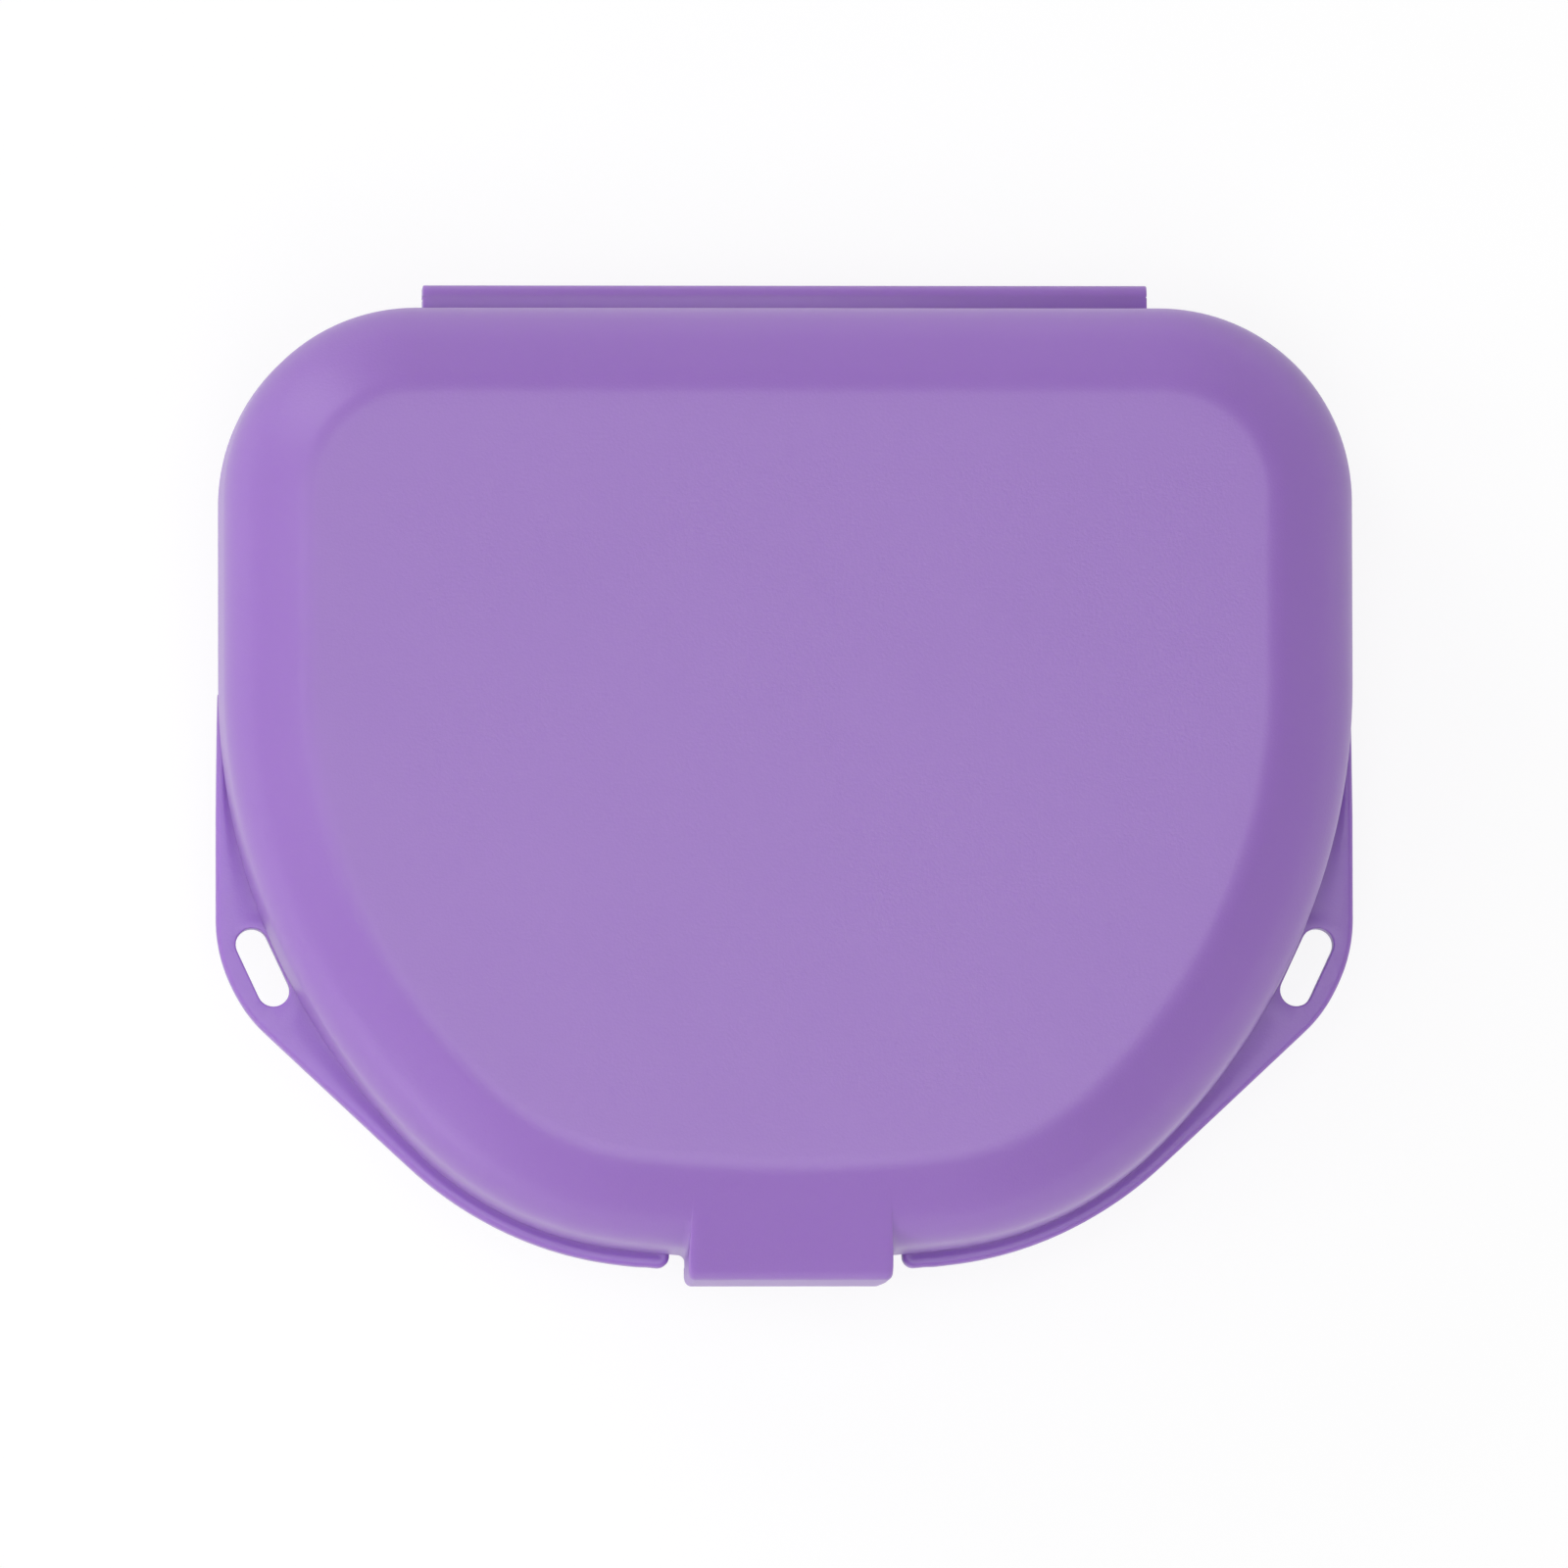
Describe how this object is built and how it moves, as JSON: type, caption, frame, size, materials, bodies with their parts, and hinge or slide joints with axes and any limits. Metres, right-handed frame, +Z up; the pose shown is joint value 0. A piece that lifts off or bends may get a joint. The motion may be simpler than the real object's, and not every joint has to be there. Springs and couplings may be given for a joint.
{
  "type": "retainer case",
  "caption": "D-shaped plastic case for a dental retainer, with a fold-over lid on a moulded living hinge, a front snap latch and slotted ears for a cord.",
  "frame": {"origin": "centre of the closed case's footprint, on the surface that it rests on", "axes": "+X to the right seen from the latch, +Y from the latch to the hinge, +Z up through the lid"},
  "size_m": [0.0794, 0.0698, 0.025],
  "materials": {
    "polypropylene": "satin purple polypropylene, lightly translucent at thin edges"
  },
  "bodies": {
    "base": {"base_tray": "polypropylene", "locating_tongue": "polypropylene", "left_lanyard_flange": "polypropylene", "right_lanyard_flange": "polypropylene", "catch_ridge": "polypropylene", "base_hinge_flange": "polypropylene"},
    "hinge_strap": {"hinge_strap": "polypropylene", "lower_fold_film": "polypropylene", "upper_fold_film": "polypropylene"},
    "lid": {"lid_shell": "polypropylene", "lid_hinge_flange": "polypropylene", "latch_neck": "polypropylene"},
    "latch_tab": {"latch_tab": "polypropylene"}
  },
  "joints": [
    {"name": "lower_fold", "type": "hinge", "parent": "base", "child": "hinge_strap", "pos_m": [0, 0.03456, 0.01082], "axis": [-1, 0, 0], "range_deg": [0, 90], "deforming": ["lower_fold_film"]},
    {"name": "upper_fold", "type": "hinge", "parent": "hinge_strap", "child": "lid", "pos_m": [0, 0.03456, 0.01418], "axis": [-1, 0, 0], "range_deg": [0, 90], "deforming": ["upper_fold_film"]},
    {"name": "latch_flex", "type": "hinge", "parent": "lid", "child": "latch_tab", "pos_m": [0, -0.03447, 0.0122], "axis": [-1, 0, 0], "range_deg": [0, 10], "stiffness_Nm_per_rad": 0.05, "deforming": ["latch_neck"]}
  ],
  "couplings": [
    {"joint": "upper_fold", "follows": "lower_fold", "ratio": 1}
  ]
}
